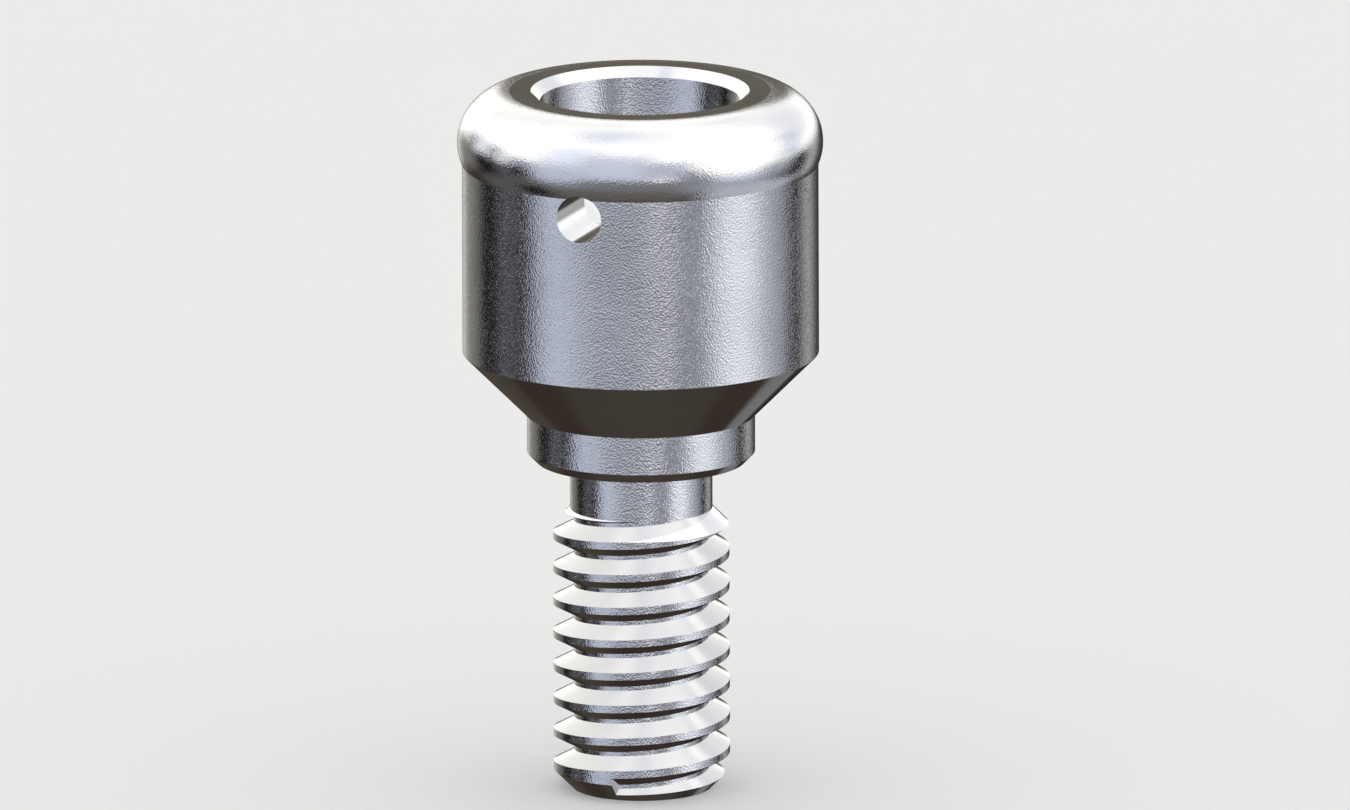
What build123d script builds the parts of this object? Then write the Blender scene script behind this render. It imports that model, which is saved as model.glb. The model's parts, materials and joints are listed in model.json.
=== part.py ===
from build123d import *
from math import radians, sqrt, tan
import os

# Attachment abutment, turned in one piece from titanium bar.
# Lengths are in mm and angles in degrees. Z is the turning axis, the shank's end face lies on
# z = 0, the head is up, and a bearing of 270 faces the front (-Y).

# Shank thread, 1-72 unified fine, right-hand
thread_diameter = 1.854
thread_pitch = 0.3528
thread_depth = 0.2165
thread_crest_land = 0.079
thread_root_land = 0.045
thread_length = 3.01
end_chamfer = 0.2
thread_entry_bearing = 250.0
thread_entry_height = 0.138

# Plain neck between the thread and the collar
neck_diameter = 1.5
neck_length = 0.51

# Collar that pilots the abutment in the implant
collar_diameter = 2.4
collar_length = 0.5
collar_chamfer = 0.1

# Head, from the top of the collar to the rim
head_diameter = 3.75
head_length = 3.48
cone_half_angle = 45.0

# Rim bead that holds the snap-on insert
bead_overhang = 0.05
bead_section_radius = 0.55

# Bore in the head, which ends in a drill's point
bore_diameter = 2.1
bore_depth = 1.3
bore_chamfer = 0.1
drill_point_half_angle = 59.0

# Hexagonal driver socket in the bore's floor, with a flat towards the cross hole
driver_across_flats = 1.25
driver_clearance = 0.02
socket_depth = 1.2
socket_corner_bearing = 30.0

# Cross hole through the front left wall of the head
cross_hole_diameter = 0.5
cross_hole_below_rim = 0.99
cross_hole_bearing = 249.6

# Heights that follow from the lengths
neck_base = thread_length
collar_base = neck_base + neck_length
head_base = collar_base + collar_length
rim = head_base + head_length


def turned(*corners):
    """Revolve an outline of (radius, height) corners about Z."""
    outline = Polyline(*corners, close=True)
    return revolve(Plane.XZ * make_face(outline), Axis.Z)


def thread_groove():
    """Helical groove that starts square near the shank's end and runs out at its upper end.

    The cutting section goes on past the crests, along the same flanks, until the gap between
    two turns of it is half the crest's land.
    """
    crest_radius = thread_diameter / 2
    root_radius = crest_radius - thread_depth
    crest_gap = thread_pitch - thread_crest_land
    flank_slope = (crest_gap - thread_root_land) / 2 / thread_depth
    outer_gap = thread_pitch - thread_crest_land / 2
    outer_radius = crest_radius + (outer_gap - crest_gap) / 2 / flank_slope
    rise = thread_length + thread_pitch / 2 - thread_entry_height
    section = Polyline(
        (root_radius, -thread_root_land / 2),
        (outer_radius, -outer_gap / 2),
        (outer_radius, outer_gap / 2),
        (root_radius, thread_root_land / 2),
        close=True,
    )
    path = Helix(pitch=thread_pitch, height=rise, radius=root_radius)
    groove = sweep(Plane.XZ * make_face(section), path=path, is_frenet=True)
    return Pos(0, 0, thread_entry_height) * Rot(0, 0, thread_entry_bearing) * groove


def threaded_shank():
    """Shank with a chamfered end, a bevel up to the neck and the thread cut in it."""
    crest_radius = thread_diameter / 2
    neck_radius = neck_diameter / 2
    bevel = crest_radius - neck_radius
    blank = turned(
        (0, 0),
        (crest_radius - end_chamfer, 0),
        (crest_radius, end_chamfer),
        (crest_radius, thread_length - bevel),
        (neck_radius, thread_length),
        (0, thread_length),
    )
    return blank - thread_groove()


def neck_and_collar():
    """Neck and chamfered collar, up to the foot of the head."""
    neck_radius = neck_diameter / 2
    collar_radius = collar_diameter / 2
    return turned(
        (0, neck_base),
        (neck_radius, neck_base),
        (neck_radius, collar_base),
        (collar_radius - collar_chamfer, collar_base),
        (collar_radius, collar_base + collar_chamfer),
        (collar_radius, head_base),
        (0, head_base),
    )


def head_blank():
    """Solid head: cone, cylindrical wall and the rounded bead that stands out at the rim."""
    collar_radius = collar_diameter / 2
    head_radius = head_diameter / 2
    cone_top = head_base + (head_radius - collar_radius) / tan(radians(cone_half_angle))
    bead_radius = head_radius + bead_overhang
    bead_centre_radius = bead_radius - bead_section_radius
    bead_centre_height = rim - bead_section_radius
    bead_foot = bead_centre_height - sqrt(
        bead_section_radius**2 - (head_radius - bead_centre_radius) ** 2
    )
    bead_curve = ThreePointArc(
        (head_radius, bead_foot),
        (bead_radius, bead_centre_height),
        (bead_centre_radius, rim),
    )
    wall = Polyline(
        (bead_centre_radius, rim),
        (0, rim),
        (0, head_base),
        (collar_radius, head_base),
        (head_radius, cone_top),
        (head_radius, bead_foot),
    )
    return revolve(Plane.XZ * make_face([*wall.edges(), *bead_curve.edges()]), Axis.Z)


def bore():
    """Round bore with a chamfered mouth, open at the rim, over its drill's point."""
    bore_radius = bore_diameter / 2
    point_depth = bore_radius / tan(radians(drill_point_half_angle))
    return turned(
        (0, rim - bore_depth - point_depth),
        (bore_radius, rim - bore_depth),
        (bore_radius, rim - bore_chamfer),
        (bore_radius + bore_chamfer, rim),
        (0, rim),
    )


def driver_socket():
    """Hexagonal socket in the bore's sloping floor, over the point left by its pilot drill."""
    across_flats = driver_across_flats + driver_clearance
    floor = rim - bore_depth - socket_depth
    drill_radius = across_flats / 2
    point_depth = drill_radius / tan(radians(drill_point_half_angle))
    hexagon = RegularPolygon(radius=drill_radius, side_count=6, major_radius=False)
    socket = extrude(Pos(0, 0, floor) * Rot(0, 0, socket_corner_bearing) * hexagon, amount=socket_depth)
    drill_point = turned((0, floor - point_depth), (drill_radius, floor), (0, floor))
    return socket + drill_point


def cross_hole():
    """Radial hole from the bore out through one side of the head."""
    hole_height = rim - cross_hole_below_rim
    reach = head_diameter / 2 + bead_overhang
    drill = extrude(Plane.YZ * Circle(cross_hole_diameter / 2), amount=reach)
    return Pos(0, 0, hole_height) * Rot(0, 0, cross_hole_bearing) * drill


def abutment():
    """The whole turned piece."""
    blank = threaded_shank() + neck_and_collar() + head_blank()
    return blank - bore() - driver_socket() - cross_hole()


os.makedirs("parts", exist_ok=True)
export_step(abutment(), "parts/abutment.step")
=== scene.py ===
import json
from math import asin, atan2, cos, hypot, inf, pi, radians, sin, sqrt, tan

import bpy
from bpy.props import FloatProperty, FloatVectorProperty, IntProperty, PointerProperty
from mathutils import Matrix, Vector


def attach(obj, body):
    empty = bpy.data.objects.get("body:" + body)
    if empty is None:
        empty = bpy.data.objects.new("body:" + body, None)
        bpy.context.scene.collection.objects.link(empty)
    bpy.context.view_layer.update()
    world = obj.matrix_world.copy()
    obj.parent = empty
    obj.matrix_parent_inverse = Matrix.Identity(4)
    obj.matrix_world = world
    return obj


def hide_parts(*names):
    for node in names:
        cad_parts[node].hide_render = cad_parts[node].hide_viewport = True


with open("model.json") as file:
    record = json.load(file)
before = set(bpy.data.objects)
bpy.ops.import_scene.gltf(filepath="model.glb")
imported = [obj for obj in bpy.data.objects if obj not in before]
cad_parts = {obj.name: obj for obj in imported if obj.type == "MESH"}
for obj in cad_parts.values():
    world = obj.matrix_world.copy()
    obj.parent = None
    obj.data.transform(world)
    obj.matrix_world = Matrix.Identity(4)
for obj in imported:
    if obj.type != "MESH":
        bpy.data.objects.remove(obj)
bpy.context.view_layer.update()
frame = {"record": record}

bl_info = {
    "name": "Attachment abutment",
    "version": (1, 0, 0),
    "blender": (4, 5, 0),
    "location": "3D View > Sidebar > Abutment",
    "description": "Builds the satin metal abutment on its packed frame, and the studio round it",
    "category": "Object",
}

NODE = "abutment"
METAL_COLOUR = frame["record"]["materials"][0]["base_color"][:3]
MM = 0.001
SATIN, GLOSS, EDGE, FLANK, BEAD = range(5)

# Points closer than this, in metres, are one point. It is the last of the decimals kept.
TOUCH = 1e-9
DECIMALS = 9

# Corners of the thread's first column at the foot and the top of the wall where the groove starts.
START_FOOT, START_TOP = 1, 4

# Radius of the socket's pilot drill, as a share of the hexagon's half width.
DRILL_SHARE = 0.98

# Ends of the bar that cuts the cross hole, from the axis, in bore diameters and in head diameters.
CUTTER_START, CUTTER_END = 0.25, 0.6

# Size of the photo and the centre of the object's rim in it, in pixels.
PHOTO_WIDTH, PHOTO_HEIGHT = 1350, 810
RIM_ACROSS, RIM_DOWN = 640.0, 90.4

# Nearest and farthest that the camera sees, in metres, and its distance in heights of the object.
CAMERA_NEAR, CAMERA_FAR = 0.001, 1.0
CAMERA_DISTANCE = 20

FLOOR_ROUGHNESS = 0.9


def length(name, description, millimetres):
    """A length of the object, given in millimetres and kept in metres."""
    return FloatProperty(
        name=name, description=description, default=millimetres * MM, min=0.0, precision=6, unit="LENGTH"
    )


def share(name, description, default):
    """A value from 0 to 1."""
    return FloatProperty(
        name=name, description=description, default=default, min=0.0, max=1.0, subtype="FACTOR"
    )


def angle(name, description, degrees):
    """An angle, given in degrees and kept in radians."""
    return FloatProperty(name=name, description=description, default=radians(degrees), subtype="ANGLE")


class AbutmentShape(bpy.types.PropertyGroup):
    """Sizes of the turned piece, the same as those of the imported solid."""

    thread_diameter: length("Thread diameter", "Shank thread over its crests", 1.854)
    thread_pitch: length("Thread pitch", "Rise of the thread in one turn", 0.3528)
    thread_depth: length("Thread depth", "From crest to root", 0.2165)
    crest_land: length("Crest land", "Width of the thread's flat crest", 0.079)
    root_land: length("Root land", "Width of the groove's flat root", 0.045)
    thread_length: length("Thread length", "From the end face to the plain neck", 3.01)
    end_chamfer: length("End chamfer", "45 degree chamfer at the shank's end", 0.2)
    entry_height: length("Thread entry height", "Height of the groove's square start", 0.138)
    entry_bearing: angle(
        "Thread entry bearing",
        "Bearing of the groove's square start, 270 degrees being the front",
        250.0,
    )
    neck_diameter: length("Neck diameter", "Plain neck above the thread", 1.5)
    neck_length: length("Neck length", "Plain neck up to the collar", 0.51)
    collar_diameter: length("Collar diameter", "Collar below the cone", 2.4)
    collar_length: length("Collar length", "Collar with its chamfer", 0.5)
    collar_chamfer: length("Collar chamfer", "45 degree chamfer at the collar's foot", 0.1)
    head_diameter: length("Head diameter", "Cylindrical wall of the head", 3.75)
    head_length: length("Head length", "From the cone's foot to the rim", 3.48)
    bead_overhang: length("Bead overhang", "How far the rim bead stands out", 0.05)
    bead_radius: length("Bead section radius", "Radius of the bead's round section", 0.55)
    bore_diameter: length("Bore diameter", "Round bore in the head", 2.1)
    bore_depth: length("Bore depth", "From the rim to the foot of the bore's wall", 1.3)
    bore_chamfer: length("Bore chamfer", "45 degree chamfer at the bore's mouth", 0.1)
    socket_across_flats: length("Socket across flats", "Hexagonal socket in the bore's floor", 1.27)
    socket_depth: length("Socket depth", "From the foot of the bore's wall to the hexagon's floor", 1.2)
    socket_bearing: angle("Socket bearing", "Bearing of one of the hexagon's corners", 30.0)
    drill_point_angle: angle(
        "Drill point half angle",
        "Half angle of the drills' points, at the bore's floor and below the hexagon",
        59.0,
    )
    hole_diameter: length("Cross hole diameter", "Hole through one wall of the head", 0.5)
    hole_below_rim: length("Cross hole below rim", "From the rim to the hole's axis", 0.99)
    hole_bearing: angle(
        "Cross hole bearing", "Bearing of the hole's axis, 270 degrees being the front", 249.6
    )
    edge_break: length("Edge break", "Radius left on the outer edges by deburring", 0.008)
    columns: IntProperty(name="Columns", description="Facets round the piece", default=360, min=48, max=720)


class AbutmentFinish(bpy.types.PropertyGroup):
    """Look of the metal."""

    colour: FloatVectorProperty(
        name="Metal colour", description="Colour of the metal", subtype="COLOR", size=3, min=0.0, max=1.0,
        default=METAL_COLOUR,
    )
    grain_size: length("Grain size", "Width of one grain of the satin finish", 0.016)
    grain_flatness: FloatProperty(
        name="Grain flatness", description="Width of a grain over its height", default=0.9, min=0.1, max=10.0
    )
    grain_depth: length("Grain depth", "Height of the satin finish's grain", 0.0034)
    bead_grain_depth: length(
        "Bead grain depth", "Height of the grain on the bead, which wear has smoothed", 0.0025
    )
    cloud_size: length("Cloud size", "Size of the faint clouds in the metal's tone", 0.9)
    roughness: share("Roughness", "Roughness of the satin walls", 0.13)
    roughness_spread: share("Roughness spread", "How far the roughness varies from grain to grain", 0.03)
    smooth_roughness: share(
        "Smooth roughness", "Roughness of the cone, the thread's flanks and the flats", 0.09
    )
    smooth_relief: length("Smooth relief", "Height of the faint grain on the smooth faces", 0.0002)
    edge_roughness: share("Edge roughness", "Roughness of the edges, which handling has polished", 0.08)
    # Flank painted shade: darkens the flanks' colour to paint the shade inside the thread's groove. It is
    # not a darker cut finish.
    flank_painted_shade: share("Flank painted shade", "Tone of the thread's flanks, which the cutter leaves darker", 0.8)


class StudioSettings(bpy.types.PropertyGroup):
    """Camera, floor and light."""

    camera_elevation: angle("Camera elevation", "Angle of the view above the horizon", 13.0)
    camera_lean: angle("Camera lean", "Roll of the view about its own axis", -0.17)
    view_width: length("View width", "Width of the picture at the object", 14.195)
    rim_across: FloatProperty(
        name="Rim across",
        description="Rim centre from the left, in widths of the picture",
        default=RIM_ACROSS / PHOTO_WIDTH,
    )
    rim_down: FloatProperty(
        name="Rim down",
        description="Rim centre from the top, in widths of the picture",
        default=RIM_DOWN / PHOTO_WIDTH,
    )
    floor_colour: FloatVectorProperty(
        name="Floor colour", description="Colour of the floor", subtype="COLOR", size=3, min=0.0, max=1.0,
        default=(0.8, 0.8, 0.79),
    )
    light: FloatProperty(
        name="Light", description="Brightness of the light on the floor", default=1.0, min=0.0
    )


class Skin:
    """Points, faces and exact face-corner normals of a piece while it is built on its bearings."""

    def __init__(self, bearings):
        self.bearings = bearings
        self.points = []
        self.faces = []
        self.normals = []
        self.finishes = []

    def point(self, radius, height, bearing):
        self.points.append((radius * cos(bearing), radius * sin(bearing), height))
        return len(self.points) - 1

    def ring(self, radius, height):
        """One point on each bearing."""
        return [self.point(radius, height, bearing) for bearing in self.bearings]

    def face(self, corners, normals, finish):
        self.faces.append(corners)
        self.normals.extend(normals)
        self.finishes.append(finish)

    def band(self, low, high, low_normal, high_normal, finish):
        """Quads between two rings, in the outline's order. The normals are (outwards, up)."""
        count = len(self.bearings)
        for here in range(count):
            there = (here + 1) % count
            tilts = (low_normal, low_normal, high_normal, high_normal)
            turns = [self.bearings[k] for k in (here, there, there, here)]
            normals = [(out * cos(b), out * sin(b), up) for b, (out, up) in zip(turns, tilts)]
            self.face((low[here], low[there], high[there], high[here]), normals, finish)

    def mesh(self, name, materials):
        """The mesh, with the normals in its corner attribute "facing"."""
        made = bpy.data.meshes.new(name)
        made.from_pydata(self.points, [], self.faces)
        for material in materials:
            made.materials.append(material)
        made.polygons.foreach_set("material_index", self.finishes)
        facing = made.attributes.new("facing", "FLOAT_VECTOR", "CORNER")
        facing.data.foreach_set("vector", [value for normal in self.normals for value in normal])
        made.update()
        return made


def facing_of(start, end):
    """Outward normal of a straight stretch of the outline, which has the solid on its left."""
    run = end[0] - start[0]
    rise = end[1] - start[1]
    size = hypot(run, rise)
    return rise / size, -run / size


def broken_edge(before, corner, after, radius, steps=3):
    """Points and normals of an outer edge that is rounded off."""
    first = facing_of(before, corner)
    last = facing_of(corner, after)
    turn = atan2(first[0] * last[1] - first[1] * last[0], first[0] * last[0] + first[1] * last[1])
    middle = Vector(first) + Vector(last)
    centre = Vector(corner) - middle.normalized() * radius / cos(turn / 2)
    start = atan2(first[1], first[0])
    angles = [start + turn * step / steps for step in range(steps + 1)]
    return [((centre.x + radius * cos(a), centre.y + radius * sin(a)), (cos(a), sin(a))) for a in angles]


def stations_of(corners, edge_break):
    """Stations (point, normal before, normal after, finish after) of a run of straight stretches.

    A corner is (point, finish of the stretch after it, whether its edge is broken).
    """
    stations = []
    for index, (corner, finish, broken) in enumerate(corners):
        before = corners[index - 1][0] if index else None
        after = corners[index + 1][0] if index + 1 < len(corners) else None
        if broken:
            arc = broken_edge(before, corner, after, edge_break)
            stations += [(point, normal, normal, EDGE) for point, normal in arc[:-1]]
            stations.append((arc[-1][0], arc[-1][1], arc[-1][1], finish))
        else:
            leaving = facing_of(corner, after) if after else facing_of(before, corner)
            arriving = facing_of(before, corner) if before else leaving
            stations.append((corner, arriving, leaving, finish))
    return stations


def bead_stations(centre, foot, radius, steps=44):
    """Stations of the rim bead's round section, from its foot to the flat rim, both left out."""
    start = asin((foot - centre[1]) / radius)
    stations = []
    for step in range(1, steps):
        turn = start + (pi / 2 - start) * step / steps
        normal = (cos(turn), sin(turn))
        point = (centre[0] + radius * normal[0], centre[1] + radius * normal[1])
        stations.append((point, normal, normal, BEAD))
    return stations


def rim_height(shape):
    """Height of the rim above the shank's end face."""
    return shape.thread_length + shape.neck_length + shape.collar_length + shape.head_length


def head_outline(shape):
    """Stations of the outline from the neck's foot, over the rim, to the corner of the bore's floor."""
    neck = shape.neck_diameter / 2
    collar = shape.collar_diameter / 2
    head = shape.head_diameter / 2
    bore = shape.bore_diameter / 2
    collar_base = shape.thread_length + shape.neck_length
    head_base = collar_base + shape.collar_length
    rim = head_base + shape.head_length
    centre = (head + shape.bead_overhang - shape.bead_radius, rim - shape.bead_radius)
    foot = centre[1] - sqrt(shape.bead_radius**2 - (head - centre[0]) ** 2)
    outer = [
        ((neck, shape.thread_length), SATIN, False),
        ((neck, collar_base), GLOSS, False),
        ((collar - shape.collar_chamfer, collar_base), GLOSS, True),
        ((collar, collar_base + shape.collar_chamfer), SATIN, True),
        ((collar, head_base), GLOSS, False),
        ((head, head_base + head - collar), SATIN, True),
        ((head, foot), BEAD, False),
    ]
    inner = [
        ((centre[0], rim), GLOSS, False),
        ((bore + shape.bore_chamfer, rim), GLOSS, True),
        ((bore, rim - shape.bore_chamfer), SATIN, True),
        ((bore, rim - shape.bore_depth), GLOSS, False),
    ]
    stations = stations_of(outer, shape.edge_break)
    point, arriving, _, finish = stations[-1]
    lean = (foot - centre[1]) / shape.bead_radius
    stations[-1] = (point, arriving, (cos(asin(lean)), lean), finish)
    bead = bead_stations(centre, foot, shape.bead_radius)
    return stations + bead + stations_of(inner, shape.edge_break)


def add_head(skin, shape, neck_ring):
    """The turned surface above the thread. Returns the ring at the foot of the bore's wall."""
    stations = head_outline(shape)
    ring = neck_ring
    for (_, _, leaving, finish), (point, arriving, _, _) in zip(stations, stations[1:]):
        above = skin.ring(*point)
        skin.band(ring, above, leaving, arriving, finish)
        ring = above
    return ring


def add_socket(skin, shape, floor_ring):
    """The bore's conical floor with its hexagonal socket, down to the drill point."""
    half = shape.socket_across_flats / 2
    bore = shape.bore_diameter / 2
    wall_foot = rim_height(shape) - shape.bore_depth
    base = wall_foot - shape.socket_depth
    fall = 1 / tan(shape.drill_point_angle)
    slant = (-cos(shape.drill_point_angle), sin(shape.drill_point_angle))
    point_radius = DRILL_SHARE * half
    corner = shape.socket_bearing
    reach = [half / cos((bearing - corner) % (pi / 3) - pi / 6) for bearing in skin.bearings]
    upper = [skin.point(r, wall_foot - (bore - r) * fall, b) for r, b in zip(reach, skin.bearings)]
    lower = [skin.point(r, base, b) for r, b in zip(reach, skin.bearings)]
    drill = skin.ring(point_radius, base)
    apex = skin.point(0.0, base - point_radius * fall, 0.0)
    skin.band(floor_ring, upper, slant, slant, GLOSS)
    skin.band(lower, drill, (0, 1), (0, 1), GLOSS)
    count = len(skin.bearings)
    for here in range(count):
        there = (here + 1) % count
        middle = skin.bearings[here] + pi / count
        side = middle - (middle - corner) % (pi / 3) + pi / 6
        inward = (-cos(side), -sin(side), 0.0)
        skin.face((upper[here], upper[there], lower[there], lower[here]), [inward] * 4, GLOSS)
        around = (skin.bearings[here], skin.bearings[there], middle)
        cone = [(slant[0] * cos(b), slant[0] * sin(b), slant[1]) for b in around]
        skin.face((drill[here], drill[there], apex), cone, GLOSS)


class Thread:
    """The threaded shank: its chamfered and bevelled blank, and the helical groove cut in it."""

    def __init__(self, shape):
        self.crest = shape.thread_diameter / 2
        self.root = self.crest - shape.thread_depth
        self.neck = shape.neck_diameter / 2
        self.top = shape.thread_length
        self.chamfer = shape.end_chamfer
        self.pitch = shape.thread_pitch
        self.root_half = shape.root_land / 2
        self.flank = (shape.thread_pitch - shape.crest_land) / 2 - self.root_half
        self.slope = shape.thread_depth / self.flank
        self.entry_height = shape.entry_height
        self.entry_bearing = shape.entry_bearing

    def groove_height(self, bearing, turn):
        """Height of the groove's middle on a bearing, in the given turn."""
        return self.entry_height + self.pitch * ((bearing - self.entry_bearing) / (2 * pi) + turn)

    def blank_radius(self, height):
        return min(self.crest, self.crest - self.chamfer + height, self.neck + self.top - height)

    def mouth(self, middle, side):
        """Height where the groove's flank meets the blank, below (-1) or above (1) the groove's middle."""
        heights = []
        lines = ((self.crest - self.chamfer, 1), (self.crest, 0), (self.neck + self.top, -1))
        for radius, growth in lines:
            rise = radius + growth * middle - self.root + self.root_half * self.slope
            heights.append(side * rise / (self.slope - side * growth))
        return middle + (min(heights) if side > 0 else max(heights))

    def stretches(self, bearing):
        """Straight stretches of the outline, endlessly upwards, as (label, end radius, end height)."""
        height = 0.0
        turn = 0
        bevel = self.top - (self.crest - self.neck)
        while True:
            middle = self.groove_height(bearing, turn)
            enter = self.mouth(middle, -1)
            leave = self.mouth(middle, 1)
            for name, corner in (("chamfer", self.chamfer), ("crest", bevel), ("bevel", inf)):
                if height < min(corner, enter):
                    height = min(corner, enter)
                    yield (name, turn), self.blank_radius(height), height
            yield ("upper flank", turn), self.root, middle - self.root_half
            yield ("root", turn), self.root, middle + self.root_half
            yield ("lower flank", turn), self.blank_radius(leave), leave
            height = leave
            turn += 1

    def column(self, bearing):
        """Outline on one bearing: its points (radius, height) and the labels of its stretches."""
        points = [(self.crest - self.chamfer, 0.0)]
        labels = []
        for label, radius, height in self.stretches(bearing):
            labels.append(label)
            if height >= self.top - TOUCH:
                part = (self.top - points[-1][1]) / (height - points[-1][1])
                points.append((points[-1][0] + part * (radius - points[-1][0]), self.top))
                break
            points.append((radius, height))
        if points[-1][0] < self.neck - TOUCH:
            points.append((self.neck, self.top))
            labels.append(("step", 0))
        return points, labels

    def normal(self, name, radius, bearing):
        """Normal of a named stretch at a radius and bearing."""
        lead = self.pitch / (2 * pi) / radius * self.slope
        out, along, up = {
            "chamfer": (1, 0, -1),
            "bevel": (1, 0, 1),
            "upper flank": (1, -lead, self.slope),
            "lower flank": (1, lead, -self.slope),
            "step": (0, 0, -1),
        }.get(name, (1, 0, 0))
        facing = Vector((
            out * cos(bearing) - along * sin(bearing),
            out * sin(bearing) + along * cos(bearing),
            up,
        ))
        return facing.normalized()[:]


def add_shank(skin, shape):
    """The threaded shank with its end face. Returns the ring at the neck's foot."""
    thread = Thread(shape)
    columns = []
    for bearing in skin.bearings:
        points, labels = thread.column(bearing)
        columns.append((bearing, points, labels, [skin.point(r, z, bearing) for r, z in points]))
    columns.append(closing_column(skin, thread, columns[0]))
    for here, there in zip(columns, columns[1:]):
        stitch(skin, thread, here, there)
    add_groove_start(skin, columns[0], columns[-1])
    end_face = [column[3][0] for column in columns[:-1]]
    skin.face(end_face[::-1], [(0, 0, -1)] * len(end_face), GLOSS)
    return [column[3][-1] for column in columns[:-1]]


def closing_column(skin, thread, first):
    """The column a full turn after the first.

    It shares all the first one's points but those that the groove's start cuts off.
    """
    start, first_points, _, first_corners = first
    bearing = start + 2 * pi
    points, labels = thread.column(bearing)
    for end in (first_points[START_FOOT], first_points[START_TOP]):
        place = next(k for k, point in enumerate(points) if point[1] > end[1] + TOUCH)
        points.insert(place, end)
        labels.insert(place, (labels[place - 1][0], "beside the start"))
    known = {
        (round(r, DECIMALS), round(z, DECIMALS)): corner
        for (r, z), corner in zip(first_points, first_corners)
    }
    corners = []
    for radius, height in points:
        corner = known.get((round(radius, DECIMALS), round(height, DECIMALS)))
        corners.append(skin.point(radius, height, bearing) if corner is None else corner)
    return bearing, points, labels, corners


def stitch(skin, thread, here, there):
    """Faces between two neighbouring columns. A stretch that only one of them has narrows to a point."""
    bearing, points, labels, corners = here
    next_bearing, next_points, next_labels, next_corners = there
    i = j = 0
    while i < len(labels) or j < len(next_labels):
        left = labels[i] if i < len(labels) else None
        right = next_labels[j] if j < len(next_labels) else None
        both = left == right
        grow_left = both or (left is not None and left not in next_labels[j:])
        grow_right = both or not grow_left
        name = (left if grow_left else right)[0]
        picked = [(corners[i], points[i], bearing), (next_corners[j], next_points[j], next_bearing)]
        if grow_right:
            picked.append((next_corners[j + 1], next_points[j + 1], next_bearing))
        if grow_left:
            picked.append((corners[i + 1], points[i + 1], bearing))
        normals = [thread.normal(name, point[0], turn) for _, point, turn in picked]
        finish = {"crest": SATIN, "root": SATIN, "upper flank": FLANK, "lower flank": FLANK}.get(name, GLOSS)
        skin.face([corner for corner, _, _ in picked], normals, finish)
        i += grow_left
        j += grow_right


def add_groove_start(skin, first, last):
    """The flat wall where the groove starts square."""
    bearing, points, _, corners = first
    low, high = points[START_FOOT][1], points[START_TOP][1]
    beyond = [c for (_, z), c in zip(last[1], last[3]) if low + TOUCH < z < high - TOUCH]
    facing = (-sin(bearing), cos(bearing), 0.0)
    wall = corners[START_FOOT:START_TOP + 1] + beyond[::-1]
    skin.face(wall, [facing] * len(wall), GLOSS)


def hole_cutter(shape, sides=128):
    """A bar that is as thick as the cross hole, from inside the bore to outside the head."""
    radius = shape.hole_diameter / 2
    out = Vector((cos(shape.hole_bearing), sin(shape.hole_bearing), 0))
    across = Vector((-out.y, out.x, 0))
    axis_height = Vector((0, 0, rim_height(shape) - shape.hole_below_rim))
    skin = Skin([])
    ends = []
    facings = []
    for reach in (shape.bore_diameter * CUTTER_START, shape.head_diameter * CUTTER_END):
        ends.append([])
        for side in range(sides):
            turn = 2 * pi * side / sides
            spoke = across * cos(turn) + Vector((0, 0, sin(turn)))
            ends[-1].append(len(skin.points))
            skin.points.append((axis_height + out * reach + spoke * radius)[:])
            facings.append((-spoke)[:])
    for side in range(sides):
        after = (side + 1) % sides
        corners = (ends[0][side], ends[0][after], ends[1][after], ends[1][side])
        skin.face(corners, [facings[k] for k in (side, after, after, side)], GLOSS)
    skin.face(ends[0][::-1], [(-out)[:]] * sides, GLOSS)
    skin.face(ends[1], [out[:]] * sides, GLOSS)
    return skin


def cut(piece, cutter):
    """Cut one mesh object with another, which is then removed."""
    modifier = piece.modifiers.new("Cross hole", "BOOLEAN")
    modifier.operation = "DIFFERENCE"
    modifier.solver = "EXACT"
    modifier.object = cutter
    bpy.context.view_layer.update()
    evaluated = piece.evaluated_get(bpy.context.evaluated_depsgraph_get())
    made = bpy.data.meshes.new_from_object(evaluated)
    piece.modifiers.clear()
    piece.data = made
    bpy.data.objects.remove(cutter)


def shade_by_attribute(mesh):
    """Give the mesh the normals that its corner attribute "facing" holds, and drop the attribute."""
    facing = mesh.attributes["facing"]
    normals = [0.0] * (3 * len(mesh.loops))
    facing.data.foreach_get("vector", normals)
    mesh.attributes.remove(facing)
    mesh.polygons.foreach_set("use_smooth", [True] * len(mesh.polygons))
    mesh.normals_split_custom_set([Vector(normals[k:k + 3]).normalized() for k in range(0, len(normals), 3)])
    mesh.update()


def link(name, data):
    """A new object with the given data, put in the scene."""
    made = bpy.data.objects.new(name, data)
    bpy.context.scene.collection.objects.link(made)
    return made


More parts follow.
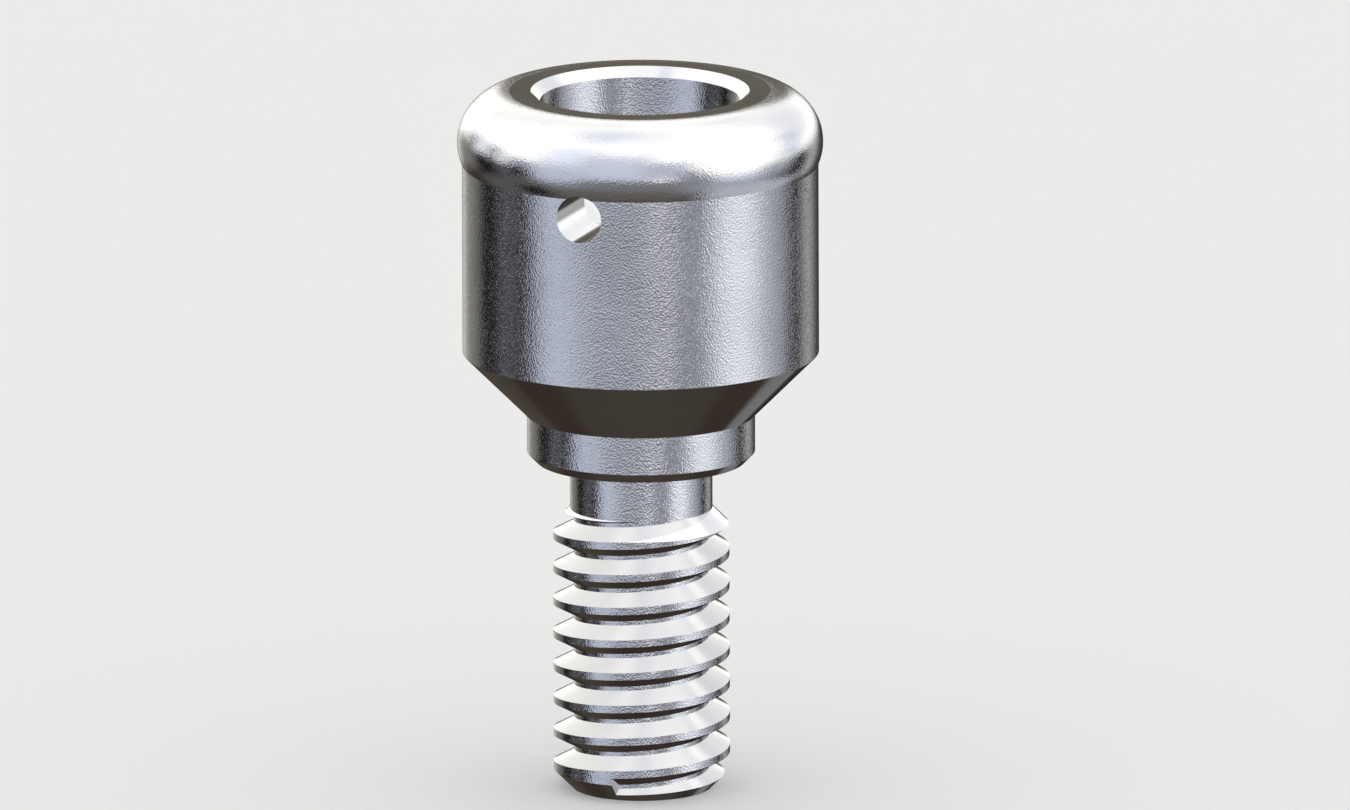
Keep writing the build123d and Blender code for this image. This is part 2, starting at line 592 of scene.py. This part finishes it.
class Graph:
    """Small helper to wire a node tree."""

    def __init__(self, tree):
        self.tree = tree

    def node(self, kind, **settings):
        made = self.tree.nodes.new(kind)
        for name, value in settings.items():
            setattr(made, name, value)
        return made

    def feed(self, socket, value):
        if isinstance(value, bpy.types.NodeSocket):
            self.tree.links.new(value, socket)
        else:
            socket.default_value = value

    def math(self, operation, *values):
        node = self.node("ShaderNodeMath", operation=operation)
        for socket, value in zip(node.inputs, values):
            self.feed(socket, value)
        return node.outputs[0]

    def noise(self, place, size, detail):
        """Noise whose features are about as large as the given size."""
        node = self.node("ShaderNodeTexNoise")
        self.feed(node.inputs["Vector"], place)
        node.inputs["Scale"].default_value = 1 / size
        node.inputs["Detail"].default_value = detail
        return node.outputs["Fac"]

    def soft_step(self, value, edge, softness, start, end):
        """From start to end as value passes the edge."""
        node = self.node("ShaderNodeMapRange", interpolation_type="SMOOTHSTEP")
        for socket, given in zip(node.inputs, (value, edge - softness, edge + softness, start, end)):
            self.feed(socket, given)
        return node.outputs[0]

    def mix(self, factor, first, second):
        node = self.node("ShaderNodeMix", data_type="RGBA")
        for name, value in (("Factor_Float", factor), ("A_Color", first), ("B_Color", second)):
            self.feed(next(s for s in node.inputs if s.identifier == name), value)
        return next(s for s in node.outputs if s.identifier == "Result_Color")


# Turn of the grain's pattern about the three axes, in radians, so that none of it lies along the view.
GRAIN_TURN = (0.4, 0.5, 0.6)

# Finer layers in the patterns of the grain and of the clouds, and the middle of their values.
GRAIN_DETAIL = 0.5
CLOUD_DETAIL = 3.0
PATTERN_MIDDLE = 0.5

# Tones of the darkest and the lightest clouds, and how gradually tone and gloss change.
CLOUD_TONES = (0.95, 1.05)
TONE_SOFTNESS = 0.25
GLOSS_SOFTNESS = 0.4

# Width over which the grain's slopes are smoothed, in pixels.
GRAIN_FILTER = 0.5


def metal(name, finish, roughness, relief, tone=1.0):
    """Bare metal, grained by the given relief, and slightly uneven in tone and gloss."""
    material = bpy.data.materials.new(name)
    material.use_nodes = True
    graph = Graph(material.node_tree)
    shader = material.node_tree.nodes["Principled BSDF"]
    shader.inputs["Metallic"].default_value = 1.0
    place = graph.node("ShaderNodeTexCoord").outputs["Object"]
    turned = graph.node("ShaderNodeMapping")
    turned.inputs["Scale"].default_value = (1, 1, finish.grain_flatness)
    turned.inputs["Rotation"].default_value = GRAIN_TURN
    graph.feed(turned.inputs["Vector"], place)
    grain = graph.noise(turned.outputs["Vector"], finish.grain_size, GRAIN_DETAIL)
    cloud = graph.noise(place, finish.cloud_size, CLOUD_DETAIL)
    # A tone below 1 darkens the colour. The flank material uses it to paint the shade of the thread's
    # groove.
    darker, lighter = ([*(tone * part * value for value in finish.colour), 1] for part in CLOUD_TONES)
    lightness = graph.soft_step(cloud, PATTERN_MIDDLE, TONE_SOFTNESS, 0.0, 1.0)
    graph.feed(shader.inputs["Base Color"], graph.mix(lightness, darker, lighter))
    uneven = graph.math("ADD", grain, cloud)
    low = roughness - finish.roughness_spread
    high = roughness + finish.roughness_spread
    dullness = graph.soft_step(uneven, 2 * PATTERN_MIDDLE, GLOSS_SOFTNESS, low, high)
    graph.feed(shader.inputs["Roughness"], dullness)
    bump = graph.node("ShaderNodeBump")
    bump.inputs["Distance"].default_value = relief
    bump.inputs["Filter Width"].default_value = GRAIN_FILTER
    graph.feed(bump.inputs["Height"], grain)
    graph.feed(shader.inputs["Normal"], bump.outputs["Normal"])
    return material


class ABUTMENT_OT_metal_piece(bpy.types.Operator):
    """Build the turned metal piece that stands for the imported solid"""

    bl_idname = "abutment.metal_piece"
    bl_label = "Metal piece"

    def execute(self, context):
        shape = context.scene.abutment_shape
        finish = context.scene.abutment_finish
        count = shape.columns
        skin = Skin([shape.entry_bearing + 2 * pi * k / count for k in range(count)])
        neck_ring = add_shank(skin, shape)
        floor_ring = add_head(skin, shape, neck_ring)
        add_socket(skin, shape, floor_ring)
        materials = [
            metal("satin_metal", finish, finish.roughness, finish.grain_depth),
            metal("smooth_metal", finish, finish.smooth_roughness, finish.smooth_relief),
            metal("edge_metal", finish, finish.edge_roughness, finish.smooth_relief),
            # The flank material's colour is darkened as painted shade of the thread's groove.
            metal("flank_metal_painted_shade", finish, finish.smooth_roughness, finish.smooth_relief, finish.flank_painted_shade),
            metal("bead_metal", finish, finish.roughness, finish.bead_grain_depth),
        ]
        piece = link("turned_metal", skin.mesh("turned_metal", materials))
        piece.visible_glossy = False
        cut(piece, link("cutter", hole_cutter(shape).mesh("cutter", materials)))
        shade_by_attribute(piece.data)
        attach(piece, "root")
        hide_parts(NODE)
        return {"FINISHED"}


def camera(studio, rim):
    """The camera at the photo's viewing angle."""
    data = bpy.data.cameras.new("camera")
    data.type = "ORTHO"
    data.ortho_scale = studio.view_width
    data.clip_start = CAMERA_NEAR
    data.clip_end = CAMERA_FAR
    made = link("camera", data)
    tilt = Matrix.Rotation(pi / 2 - studio.camera_elevation, 3, "X")
    turn = tilt @ Matrix.Rotation(studio.camera_lean, 3, "Z")
    across = (1 / 2 - studio.rim_across) * studio.view_width
    down = (PHOTO_HEIGHT / PHOTO_WIDTH / 2 - studio.rim_down) * studio.view_width
    made.location = Vector((0, 0, rim)) + turn @ Vector((across, -down, CAMERA_DISTANCE * rim))
    made.rotation_euler = turn.to_euler()
    bpy.context.scene.camera = made


def pale_floor(studio, half=0.12):
    """A wide pale floor, which the metal doesn't mirror."""
    floor = bpy.data.meshes.new("floor")
    corners = [(-half, -half, 0), (half, -half, 0), (half, half, 0), (-half, half, 0)]
    floor.from_pydata(corners, [], [(0, 1, 2, 3)])
    material = bpy.data.materials.new("floor")
    material.use_nodes = True
    shader = material.node_tree.nodes["Principled BSDF"]
    shader.inputs["Base Color"].default_value = (*studio.floor_colour, 1)
    shader.inputs["Roughness"].default_value = FLOOR_ROUGHNESS
    floor.materials.append(material)
    made = link("floor", floor)
    made.visible_glossy = False


# The room that the metal mirrors. Bearings are degrees to the right of the camera as seen from the
# object, elevations degrees above the horizon, and a tone is how the metal shows that part of the room.
# HEIGHTS gives the tone of the bare room by elevation. A panel in it has a name, the bearings of its
# sides and their softness, the elevations of its foot and top and their softness, and a tone.
WHITE = (262, 262, 262)
HEIGHTS = [
    (-90, (62, 57, 52)),
    (-60, (60, 54, 48)),
    (-46, (84, 80, 76)),
    (-24, (102, 99, 98)),
    (-12, (118, 117, 118)),
    (-4, (200, 200, 202)),
    (4, WHITE),
    (64, WHITE),
    (74, (251, 252, 254)),
    (90, (247, 249, 253)),
]
PANELS = [
    ("ceiling at the left", (-175, -50), 12, (68, 95), 5, (228, 231, 241)),
    ("wall behind at the right", (132, 172), 6, (10, 56), 6, (236, 236, 238)),
    ("wall behind at the left", (-180, -144), 6, (9, 58), 6, (248, 248, 246)),
    ("lamp behind", (147.5, 150), 1, (44, 54), 3, (300, 300, 300)),
    ("floor at the left", (-150, -70), 6, (-50, -8), 4, (80, 78, 78)),
    ("black mat", (-95, -71), 4, (-47, -33), 3, (8, 6, 8)),
    ("edge of the floor at the left", (-152, -134), 3, (-31, -21), 3, (28, 27, 28)),
    ("floor behind", (134, 228), 10, (-60, -16), 4, (50, 43, 38)),
    ("rug behind", (153, 167), 3, (-42, -28), 3, (102, 102, 104)),
    ("rug at the back left", (-176, -152), 4, (-42, -18), 4, (61, 56, 48)),
    ("floor in front", (-66, 32), 5, (-36, -10), 4, (110, 110, 114)),
    ("near floor in front", (-66, 34), 5, (-60, -36), 6, (90, 86, 83)),
    ("floor at the front right", (28, 54), 6, (-40, -8), 4, (130, 132, 142)),
    ("pale floor at the right", (50, 126), 5, (-56, -27), 4, (168, 172, 180)),
    ("step at the right", (46, 94), 5, (-28, -14), 4, (150, 155, 166)),
    ("front wall", (-44, 8), 10, (4, 43), 12, (194, 201, 216)),
    ("front wall at the left", (-68, -42), 6, (4, 50), 12, (228, 235, 249)),
    ("haze on the front wall", (-70, 5), 8, (0, 16), 13, (187, 194, 208)),
    ("foot of the front wall", (-70, 5), 8, (-11.5, 4), 3, (184, 191, 206)),
    ("left foot of the front wall", (-74, -40), 6, (-21, 6), 7, (177, 184, 200)),
    ("corner", (2, 34), 4, (-12, 27), 3, (178, 181, 195)),
    ("lamp in the corner", (8, 19), 5, (-12, -5), 3, (250, 250, 255)),
    ("post in the corner", (26, 42), 4, (-18, 6), 4, (124, 125, 134)),
    ("window", (47, 88), 8, (-10, 80), 3, WHITE),
    ("window sill", (52, 82), 7, (-20, -10), 3, (207, 215, 227)),
    ("right wall", (84, 106), 10, (-19, -4), 4, (155, 159, 170)),
    ("skirting at the right", (98, 118), 4, (-28, -18), 3, (108, 108, 114)),
    ("arch, left", (100, 120), 5, (-2, 12), 5, (200, 204, 217)),
    ("arch, middle", (108, 134), 6, (10, 30), 6, (206, 209, 221)),
    ("arch, top", (122, 154), 7, (20, 42), 6, (228, 229, 236)),
    ("dark post", (112, 131), 5, (-25, -4), 3, (26, 27, 29)),
    ("light post", (131, 147), 3, (-26, -4), 3, (156, 156, 156)),
    ("dark wall behind", (149, 172), 3, (-24, -3), 3, (56, 56, 55)),
    ("door behind", (171, 185), 2, (-18, 18), 2, (86, 82, 75)),
    ("top of the door", (170, 180), 2, (10, 22), 3, (86, 82, 75)),
    ("edge of the door", (166, 186), 3, (-28, -5), 3, (34, 34, 34)),
    ("lamp at the left", (-170, -156), 3, (-17, 6), 3, (182, 180, 179)),
    ("light of the lamp", (-168, -154), 3, (-7, 6), 3, WHITE),
    ("grey post at the left", (-156, -130), 3, (-19, -3), 5, (114, 113, 111)),
    ("left wall", (-133, -91), 4, (-5, 14), 4, (228, 230, 238)),
    ("first upright at the left", (-139, -129), 4, (-8, 9), 5, (98, 98, 100)),
    ("second upright at the left", (-112, -104), 4, (-6, 14), 4, (80, 80, 86)),
    ("dark gap at the left", (-129, -102), 4, (-24, -3), 4, (26, 23, 23)),
    ("cabinet at the left", (-91, -74), 5, (-5, 9), 5, (110, 113, 124)),
    ("side of the cabinet", (-103, -88), 3, (-24, -5), 4, (86, 86, 92)),
    ("cabinet foot", (-91, -74), 3, (-20, -3), 3, (34, 33, 38)),
]


# The display's tone curve, from a level to the light that it stands for.
FULL_LEVEL = 255
CURVE_OFFSET = 0.055
CURVE_POWER = 2.4


def light_of(tone, metal_colour):
    """Light that the metal shows as the given tone."""
    linear = [((level / FULL_LEVEL + CURVE_OFFSET) / (1 + CURVE_OFFSET)) ** CURVE_POWER for level in tone]
    return [value / colour for value, colour in zip(linear, metal_colour)]


def room(studio, metal_colour):
    """The world: the room that the metal mirrors, and a plain white dome that lights the floor."""
    world = bpy.data.worlds.new("studio")
    world.use_nodes = True
    world.cycles.sampling_method = "NONE"
    graph = Graph(world.node_tree)
    direction = graph.node("ShaderNodeTexCoord").outputs["Generated"]
    split = graph.node("ShaderNodeSeparateXYZ")
    graph.feed(split.inputs[0], direction)
    across, away, up = split.outputs
    bearing = graph.math("DEGREES", graph.math("ARCTAN2", across, graph.math("MULTIPLY", away, -1.0)))
    elevation = graph.math("DEGREES", graph.math("ARCSINE", up))
    ramp = graph.node("ShaderNodeValToRGB")
    elements = ramp.color_ramp.elements
    given = len(elements)
    for place, (height, tone) in enumerate(HEIGHTS):
        element = elements[place] if place < given else elements.new(1.0)
        element.position = (height + 90) / 180
        element.color = (*light_of(tone, metal_colour), 1)
    graph.feed(ramp.inputs[0], graph.math("MULTIPLY_ADD", elevation, 1 / 180, 0.5))
    light = ramp.outputs[0]
    for _, (start, end), side_softness, (low, high), softness, tone in PANELS:
        offset = graph.math("WRAP", graph.math("SUBTRACT", bearing, (start + end) / 2), -180.0, 180.0)
        mask = graph.soft_step(graph.math("ABSOLUTE", offset), (end - start) / 2, side_softness, 1.0, 0.0)
        mask = graph.math("MULTIPLY", mask, graph.soft_step(elevation, low, softness, 0.0, 1.0))
        mask = graph.math("MULTIPLY", mask, graph.soft_step(elevation, high, softness, 1.0, 0.0))
        light = graph.mix(mask, light, (*light_of(tone, metal_colour), 1))
    mirrored = graph.node("ShaderNodeLightPath").outputs["Is Glossy Ray"]
    dome = (studio.light, studio.light, studio.light, 1)
    graph.feed(world.node_tree.nodes["Background"].inputs["Color"], graph.mix(mirrored, dome, light))
    return world


class ABUTMENT_OT_studio(bpy.types.Operator):
    """Build the floor, the light and the camera"""

    bl_idname = "abutment.studio"
    bl_label = "Studio"

    def execute(self, context):
        studio = context.scene.abutment_studio
        camera(studio, rim_height(context.scene.abutment_shape))
        pale_floor(studio)
        context.scene.world = room(studio, context.scene.abutment_finish.colour)
        context.scene.view_settings.view_transform = "Standard"
        return {"FINISHED"}


class ABUTMENT_PT_panel(bpy.types.Panel):
    """Lists the operators and the settings"""

    bl_idname = "ABUTMENT_PT_panel"
    bl_label = "Attachment abutment"
    bl_space_type = "VIEW_3D"
    bl_region_type = "UI"
    bl_category = "Abutment"

    def draw(self, context):
        for operator in OPERATORS:
            self.layout.operator(operator.bl_idname)
        for name in SETTINGS:
            box = self.layout.box()
            settings = getattr(context.scene, name)
            for prop in settings.bl_rna.properties:
                if prop.identifier not in ("rna_type", "name"):
                    box.prop(settings, prop.identifier)


OPERATORS = (ABUTMENT_OT_metal_piece, ABUTMENT_OT_studio)
SETTINGS = {
    "abutment_shape": AbutmentShape,
    "abutment_finish": AbutmentFinish,
    "abutment_studio": StudioSettings,
}
CLASSES = (*SETTINGS.values(), *OPERATORS, ABUTMENT_PT_panel)


def register():
    for cls in CLASSES:
        bpy.utils.register_class(cls)
    for name, cls in SETTINGS.items():
        setattr(bpy.types.Scene, name, PointerProperty(type=cls))


def unregister():
    for name in SETTINGS:
        delattr(bpy.types.Scene, name)
    for cls in reversed(CLASSES):
        bpy.utils.unregister_class(cls)


def main():
    """Build the piece and the studio."""
    register()
    bpy.ops.abutment.metal_piece()
    bpy.ops.abutment.studio()


if __name__ == "__main__":
    main()
